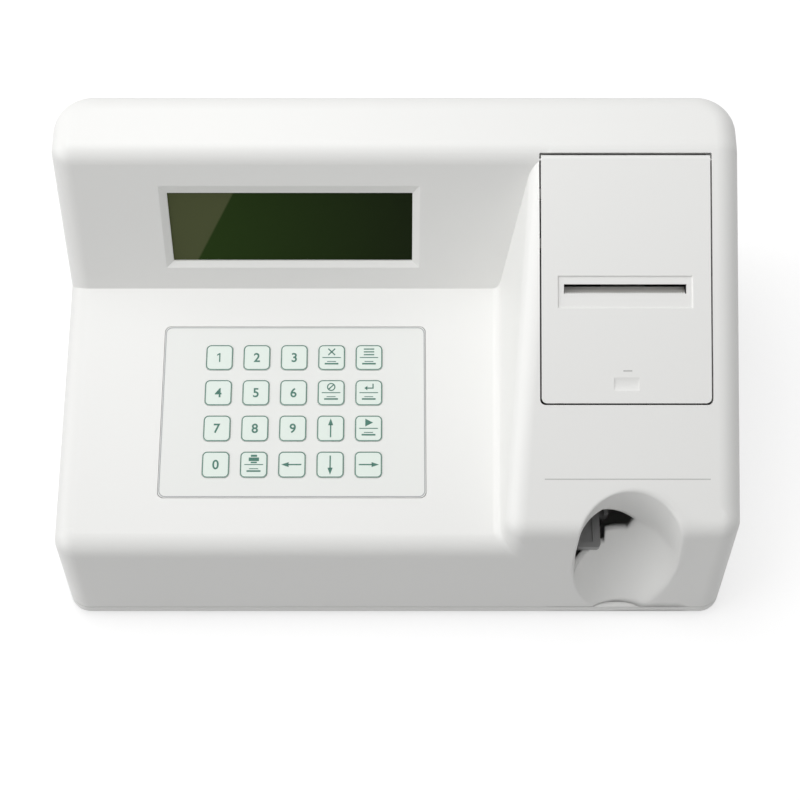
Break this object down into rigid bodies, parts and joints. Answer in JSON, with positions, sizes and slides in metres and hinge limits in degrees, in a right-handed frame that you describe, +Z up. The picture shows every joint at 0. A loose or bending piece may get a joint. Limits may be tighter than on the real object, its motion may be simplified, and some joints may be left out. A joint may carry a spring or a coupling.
{
  "type": "urine test strip analyzer",
  "caption": "Bench-top strip reader with a sloping display, a flat keypad, a printer column with a paper door, and a strip tray in a rounded mouth.",
  "frame": {"origin": "on the table under the middle of the case, between the feet", "axes": "+X to the right as the user faces the keypad, +Y to the back, +Z up"},
  "size_m": [0.33, 0.218, 0.1475],
  "materials": {
    "case_plastic": "off-white ABS, lightly textured",
    "foot_rubber": "matt",
    "screw_steel": "zinc plated",
    "window_pane": "clear, tinted olive by the display behind",
    "frame_steel": "tinned",
    "lcd_green": "dark olive display glass",
    "circuit_board": "green solder resist",
    "overlay_film": "fine matt film",
    "spacer_film": "plain",
    "dome_steel": "stainless",
    "key_film": "pale green film with dark green legend",
    "inner_plastic": "black, matt",
    "grey_plastic": "grey acetal",
    "gear_plastic": "natural acetal",
    "motor_steel": "zinc plated",
    "shaft_steel": "ground",
    "platen_rubber": "ground",
    "paper": "thermal paper",
    "ceramic": "glazed ceramic on an aluminium sink",
    "white_reference": "white",
    "lens_glass": "clear",
    "fitting_black": "black",
    "socket_metal": "tin plated"
  },
  "bodies": {
    "case": {"upper_case": "case_plastic", "base_tray": "case_plastic", "rubber_feet": "foot_rubber", "case_screws": "screw_steel", "lcd_window": "window_pane", "lcd_frame": "frame_steel", "lcd_glass": "lcd_green", "lcd_board": "circuit_board", "keypad_overlay": "overlay_film", "keypad_spacer": "spacer_film", "keypad_circuit": "circuit_board", "keypad_domes": "dome_steel", "door_hinge_pins": "shaft_steel", "printer_cradle": "inner_plastic", "printer_motor": "motor_steel", "print_head": "ceramic", "head_spring": "dome_steel", "tray_guide": "grey_plastic", "tray_motor": "motor_steel", "optics_shroud": "inner_plastic", "optics_head": "inner_plastic", "optics_lens": "lens_glass", "main_board": "circuit_board", "power_supply": "circuit_board", "inner_screws": "screw_steel", "power_inlet": "fitting_black", "switch_housing": "fitting_black", "serial_port": "socket_metal"},
    "key_1": {"key_1": "key_film"},
    "key_2": {"key_2": "key_film"},
    "key_3": {"key_3": "key_film"},
    "key_clear": {"key_clear": "key_film"},
    "key_menu": {"key_menu": "key_film"},
    "key_4": {"key_4": "key_film"},
    "key_5": {"key_5": "key_film"},
    "key_6": {"key_6": "key_film"},
    "key_cancel": {"key_cancel": "key_film"},
    "key_enter": {"key_enter": "key_film"},
    "key_7": {"key_7": "key_film"},
    "key_8": {"key_8": "key_film"},
    "key_9": {"key_9": "key_film"},
    "key_up": {"key_up": "key_film"},
    "key_start": {"key_start": "key_film"},
    "key_0": {"key_0": "key_film"},
    "key_print": {"key_print": "key_film"},
    "key_left": {"key_left": "key_film"},
    "key_down": {"key_down": "key_film"},
    "key_right": {"key_right": "key_film"},
    "paper_door": {"printer_door": "case_plastic", "tear_bar": "screw_steel"},
    "platen": {"platen_shaft": "shaft_steel", "platen_rubber": "platen_rubber", "platen_gear": "gear_plastic"},
    "idler": {"idler_gear": "gear_plastic"},
    "feed_pinion": {"motor_pinion": "gear_plastic"},
    "paper": {"paper_roll": "paper"},
    "strip_carrier": {"strip_tray": "grey_plastic", "white_tile": "white_reference"},
    "carrier_pinion": {"tray_pinion": "gear_plastic"},
    "rocker": {"switch_rocker": "fitting_black"}
  },
  "joints": [
    {"name": "key_1_press", "type": "slide", "parent": "case", "child": "key_1", "axis": [0, 0.0785, -0.9969], "range_m": [0, 0.0004], "stiffness_N_per_m": 1500},
    {"name": "key_2_press", "type": "slide", "parent": "case", "child": "key_2", "axis": [0, 0.0785, -0.9969], "range_m": [0, 0.0004], "stiffness_N_per_m": 1500},
    {"name": "key_3_press", "type": "slide", "parent": "case", "child": "key_3", "axis": [0, 0.0785, -0.9969], "range_m": [0, 0.0004], "stiffness_N_per_m": 1500},
    {"name": "key_clear_press", "type": "slide", "parent": "case", "child": "key_clear", "axis": [0, 0.0785, -0.9969], "range_m": [0, 0.0004], "stiffness_N_per_m": 1500},
    {"name": "key_menu_press", "type": "slide", "parent": "case", "child": "key_menu", "axis": [0, 0.0785, -0.9969], "range_m": [0, 0.0004], "stiffness_N_per_m": 1500},
    {"name": "key_4_press", "type": "slide", "parent": "case", "child": "key_4", "axis": [0, 0.0785, -0.9969], "range_m": [0, 0.0004], "stiffness_N_per_m": 1500},
    {"name": "key_5_press", "type": "slide", "parent": "case", "child": "key_5", "axis": [0, 0.0785, -0.9969], "range_m": [0, 0.0004], "stiffness_N_per_m": 1500},
    {"name": "key_6_press", "type": "slide", "parent": "case", "child": "key_6", "axis": [0, 0.0785, -0.9969], "range_m": [0, 0.0004], "stiffness_N_per_m": 1500},
    {"name": "key_cancel_press", "type": "slide", "parent": "case", "child": "key_cancel", "axis": [0, 0.0785, -0.9969], "range_m": [0, 0.0004], "stiffness_N_per_m": 1500},
    {"name": "key_enter_press", "type": "slide", "parent": "case", "child": "key_enter", "axis": [0, 0.0785, -0.9969], "range_m": [0, 0.0004], "stiffness_N_per_m": 1500},
    {"name": "key_7_press", "type": "slide", "parent": "case", "child": "key_7", "axis": [0, 0.0785, -0.9969], "range_m": [0, 0.0004], "stiffness_N_per_m": 1500},
    {"name": "key_8_press", "type": "slide", "parent": "case", "child": "key_8", "axis": [0, 0.0785, -0.9969], "range_m": [0, 0.0004], "stiffness_N_per_m": 1500},
    {"name": "key_9_press", "type": "slide", "parent": "case", "child": "key_9", "axis": [0, 0.0785, -0.9969], "range_m": [0, 0.0004], "stiffness_N_per_m": 1500},
    {"name": "key_up_press", "type": "slide", "parent": "case", "child": "key_up", "axis": [0, 0.0785, -0.9969], "range_m": [0, 0.0004], "stiffness_N_per_m": 1500},
    {"name": "key_start_press", "type": "slide", "parent": "case", "child": "key_start", "axis": [0, 0.0785, -0.9969], "range_m": [0, 0.0004], "stiffness_N_per_m": 1500},
    {"name": "key_0_press", "type": "slide", "parent": "case", "child": "key_0", "axis": [0, 0.0785, -0.9969], "range_m": [0, 0.0004], "stiffness_N_per_m": 1500},
    {"name": "key_print_press", "type": "slide", "parent": "case", "child": "key_print", "axis": [0, 0.0785, -0.9969], "range_m": [0, 0.0004], "stiffness_N_per_m": 1500},
    {"name": "key_left_press", "type": "slide", "parent": "case", "child": "key_left", "axis": [0, 0.0785, -0.9969], "range_m": [0, 0.0004], "stiffness_N_per_m": 1500},
    {"name": "key_down_press", "type": "slide", "parent": "case", "child": "key_down", "axis": [0, 0.0785, -0.9969], "range_m": [0, 0.0004], "stiffness_N_per_m": 1500},
    {"name": "key_right_press", "type": "slide", "parent": "case", "child": "key_right", "axis": [0, 0.0785, -0.9969], "range_m": [0, 0.0004], "stiffness_N_per_m": 1500},
    {"name": "door_hinge", "type": "hinge", "parent": "case", "child": "paper_door", "pos_m": [0.11, 0.07196, 0.14283], "axis": [-1, 0, 0], "range_deg": [0, 105]},
    {"name": "platen_spin", "type": "hinge", "parent": "case", "child": "platen", "pos_m": [0.1096, 0.0119, 0.10826], "axis": [1, 0, 0], "continuous": true},
    {"name": "idler_spin", "type": "hinge", "parent": "case", "child": "idler", "pos_m": [0.1096, 0.01792, 0.09322], "axis": [1, 0, 0], "continuous": true},
    {"name": "feed_pinion_spin", "type": "hinge", "parent": "case", "child": "feed_pinion", "pos_m": [0.1096, 0.00622, 0.08854], "axis": [1, 0, 0], "continuous": true},
    {"name": "paper_spin", "type": "hinge", "parent": "case", "child": "paper", "pos_m": [0.1096, 0.05703, 0.10584], "axis": [1, 0, 0], "continuous": true},
    {"name": "carrier_slide", "type": "slide", "parent": "case", "child": "strip_carrier", "axis": [0, -1, 0], "range_m": [0, 0.085]},
    {"name": "carrier_pinion_spin", "type": "hinge", "parent": "case", "child": "carrier_pinion", "pos_m": [0.1088, -0.037, 0.0415], "axis": [0, 0, 1], "range_deg": [0, 880]},
    {"name": "rocker_tip", "type": "hinge", "parent": "case", "child": "rocker", "pos_m": [-0.084, 0.1035, 0.036], "axis": [1, 0, 0], "range_deg": [0, 14]}
  ],
  "couplings": [
    {"joint": "idler_spin", "follows": "platen_spin", "ratio": -0.8},
    {"joint": "feed_pinion_spin", "follows": "platen_spin", "ratio": 2},
    {"joint": "carrier_pinion_spin", "follows": "carrier_slide", "rad_per_m": 156.25}
  ]
}
